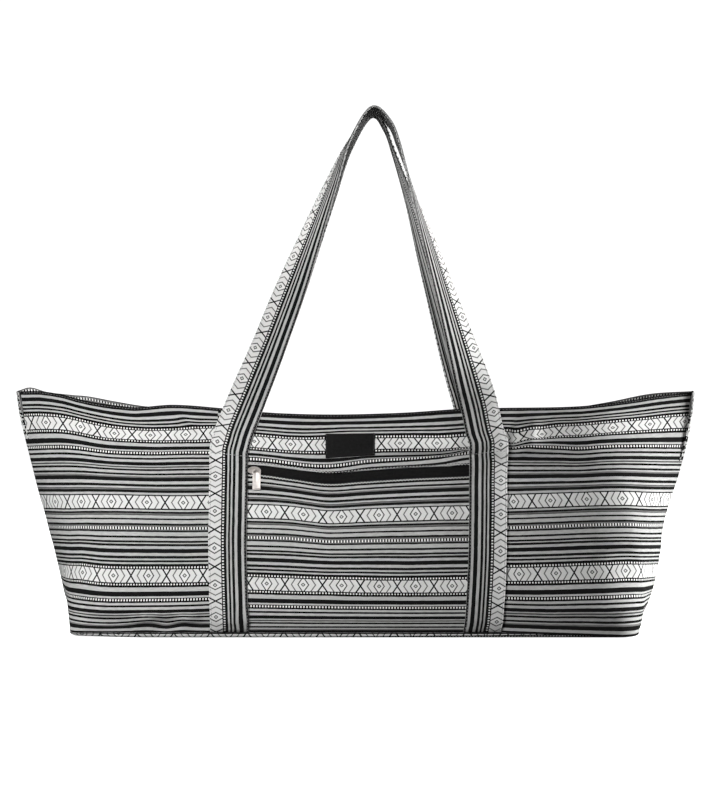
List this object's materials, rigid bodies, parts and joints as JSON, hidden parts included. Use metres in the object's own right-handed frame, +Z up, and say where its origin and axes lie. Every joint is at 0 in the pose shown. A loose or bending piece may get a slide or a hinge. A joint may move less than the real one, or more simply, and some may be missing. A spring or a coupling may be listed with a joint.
{
  "type": "yoga mat tote bag",
  "caption": "Long striped cloth tote for a rolled yoga mat: boxed base, open lens-shaped mouth, zipped front pocket with a metal pull, and tall strap handles front and back.",
  "frame": {"origin": "middle of the base's flat underside, on the surface the bag stands on", "axes": "+X along the bag, -Y out of the front with the pocket, +Z up towards the handles"},
  "size_m": [0.7413, 0.1725, 0.5694],
  "materials": {
    "striped_cloth": "woven cotton in black, grey and white stripes",
    "strap_cloth": "the same cloth, folded and sewn into straps",
    "black_cloth": "black woven tape",
    "zip_metal": "polished nickel plate"
  },
  "bodies": {
    "bag": {"front_panel": "striped_cloth", "front_left_end": "striped_cloth", "front_right_end": "striped_cloth", "back_panel": "striped_cloth", "back_left_end": "striped_cloth", "back_right_end": "striped_cloth", "base_panel": "striped_cloth", "pocket_front": "striped_cloth", "pocket_yoke": "striped_cloth", "zip_tape": "black_cloth", "label_patch": "black_cloth", "front_handle": "strap_cloth", "back_handle": "strap_cloth", "zip_slider": "zip_metal"},
    "zip_pull": {"zip_pull": "zip_metal"}
  },
  "joints": [
    {"name": "zip_pull_swing", "type": "hinge", "parent": "bag", "child": "zip_pull", "pos_m": [-0.10205, -0.07062, 0.17554], "axis": [-1, 0, 0], "range_deg": [0, 160]}
  ]
}
